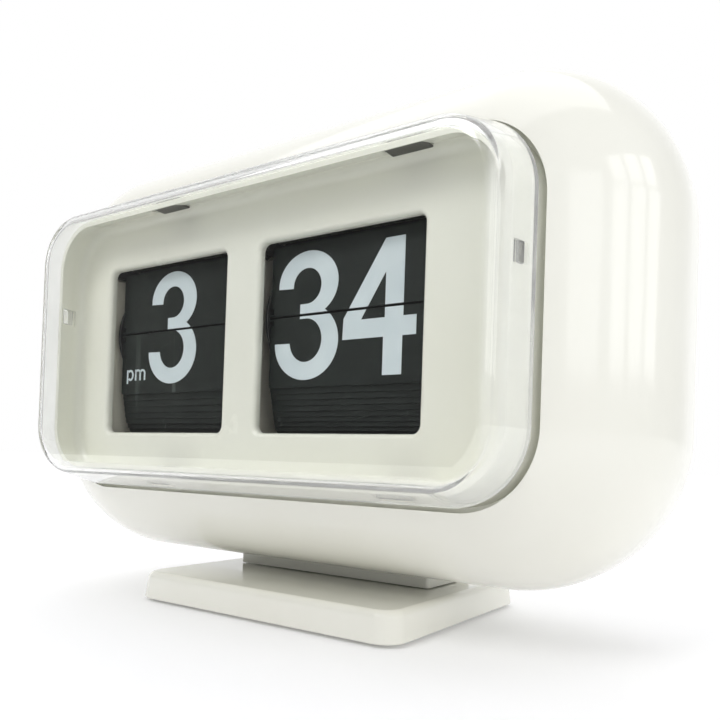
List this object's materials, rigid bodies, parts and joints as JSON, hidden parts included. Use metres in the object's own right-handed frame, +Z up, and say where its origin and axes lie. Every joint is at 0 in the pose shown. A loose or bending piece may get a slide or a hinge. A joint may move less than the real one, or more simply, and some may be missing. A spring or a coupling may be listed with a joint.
{
  "type": "flip number clock",
  "caption": "Pillow-shaped cream flip clock on a flat stand, with falling hour and minute flaps behind a clear front cover.",
  "frame": {"origin": "middle of the footprint of the whole clock, on the surface that it stands on", "axes": "+X to the viewer's right along the clock, -Y towards the viewer, +Z up"},
  "size_m": [0.207, 0.096, 0.1434],
  "materials": {
    "housing": "polished off-white ABS",
    "clear_cover": "clear polished acrylic",
    "tray": "satin off-white ABS",
    "flap": "matt black card with pale printed numerals",
    "nylon": "natural nylon",
    "drum": "black moulded",
    "gear": "natural acetal",
    "brass": "cut brass",
    "motor": "black motor can",
    "board": "green circuit board",
    "steel": "zinc plated",
    "rubber": "matt rubber",
    "battery": "plain printed jacket"
  },
  "bodies": {
    "case": {"front_housing": "housing", "rear_housing": "housing", "stand_plate": "housing", "stand_neck": "housing", "clear_front_cover": "clear_cover", "dial_tray": "tray", "hour_lower_flap": "flap", "hour_waiting_flaps": "flap", "hour_fallen_flaps": "flap", "minute_lower_flap": "flap", "minute_waiting_flaps": "flap", "minute_fallen_flaps": "flap", "hour_flap_stop": "drum", "minute_flap_stop": "drum", "left_frame_plate": "nylon", "middle_frame_plate": "nylon", "right_frame_plate": "nylon", "battery_trough": "nylon", "motor": "motor", "circuit_board": "board", "tie_rod_top": "steel", "tie_rod_back": "steel", "tie_rod_bottom": "steel", "positive_contact": "steel", "negative_contact_spring": "steel", "stand_screw_left": "steel", "stand_screw_right": "steel", "battery_cell": "battery", "housing_screw_top_left": "steel", "housing_screw_top_right": "steel", "housing_screw_bottom_left": "steel", "housing_screw_bottom_right": "steel", "foot_front_left": "rubber", "foot_front_right": "rubber", "foot_back_left": "rubber", "foot_back_right": "rubber"},
    "minute_drum": {"minute_drum_hub": "drum", "minute_drum_left_disc": "drum", "minute_drum_right_disc": "drum", "minute_pinion": "brass", "minute_wheel": "gear", "drum_shaft": "steel"},
    "hour_drum": {"hour_drum_hub": "drum", "hour_drum_left_disc": "drum", "hour_drum_right_disc": "drum", "hour_wheel": "gear"},
    "transfer_arbor": {"transfer_arbor": "gear"},
    "motor_rotor": {"motor_pinion": "brass"},
    "setting_idler": {"setting_idler": "gear"},
    "setting_wheel": {"time_setting_wheel": "gear"},
    "minute_flap": {"minute_upper_flap": "flap"},
    "hour_flap": {"hour_upper_flap": "flap"},
    "battery_door": {"battery_door": "housing"}
  },
  "joints": [
    {"name": "minute_drum_spin", "type": "hinge", "parent": "case", "child": "minute_drum", "pos_m": [0, -0.0108, 0.083], "axis": [1, 0, 0], "continuous": true},
    {"name": "hour_drum_spin", "type": "hinge", "parent": "case", "child": "hour_drum", "pos_m": [0, -0.0108, 0.083], "axis": [1, 0, 0], "continuous": true},
    {"name": "transfer_arbor_spin", "type": "hinge", "parent": "case", "child": "transfer_arbor", "pos_m": [0, 0.0072, 0.083], "axis": [1, 0, 0], "continuous": true},
    {"name": "motor_spin", "type": "hinge", "parent": "case", "child": "motor_rotor", "pos_m": [0, -0.0018, 0.06741], "axis": [1, 0, 0], "continuous": true},
    {"name": "setting_idler_spin", "type": "hinge", "parent": "case", "child": "setting_idler", "pos_m": [0, 0.0147, 0.083], "axis": [1, 0, 0], "continuous": true},
    {"name": "setting_wheel_spin", "type": "hinge", "parent": "case", "child": "setting_wheel", "pos_m": [0, 0.0327, 0.083], "axis": [1, 0, 0], "continuous": true},
    {"name": "minute_flap_fall", "type": "hinge", "parent": "case", "child": "minute_flap", "pos_m": [0.0267, -0.0265, 0.083], "axis": [1, 0, 0], "range_deg": [0, 180]},
    {"name": "hour_flap_fall", "type": "hinge", "parent": "case", "child": "hour_flap", "pos_m": [-0.0368, -0.0265, 0.083], "axis": [1, 0, 0], "range_deg": [0, 180]},
    {"name": "battery_door_hinge", "type": "hinge", "parent": "case", "child": "battery_door", "pos_m": [-0.004, 0.0382, 0.0284], "axis": [-1, 0, 0], "range_deg": [0, 75]}
  ],
  "couplings": [
    {"joint": "hour_drum_spin", "follows": "minute_drum_spin", "ratio": 0.041667},
    {"joint": "transfer_arbor_spin", "follows": "minute_drum_spin", "ratio": -0.16667},
    {"joint": "motor_spin", "follows": "minute_drum_spin", "ratio": -5},
    {"joint": "setting_idler_spin", "follows": "minute_drum_spin", "ratio": -1.4286},
    {"joint": "setting_wheel_spin", "follows": "minute_drum_spin", "ratio": 2}
  ]
}
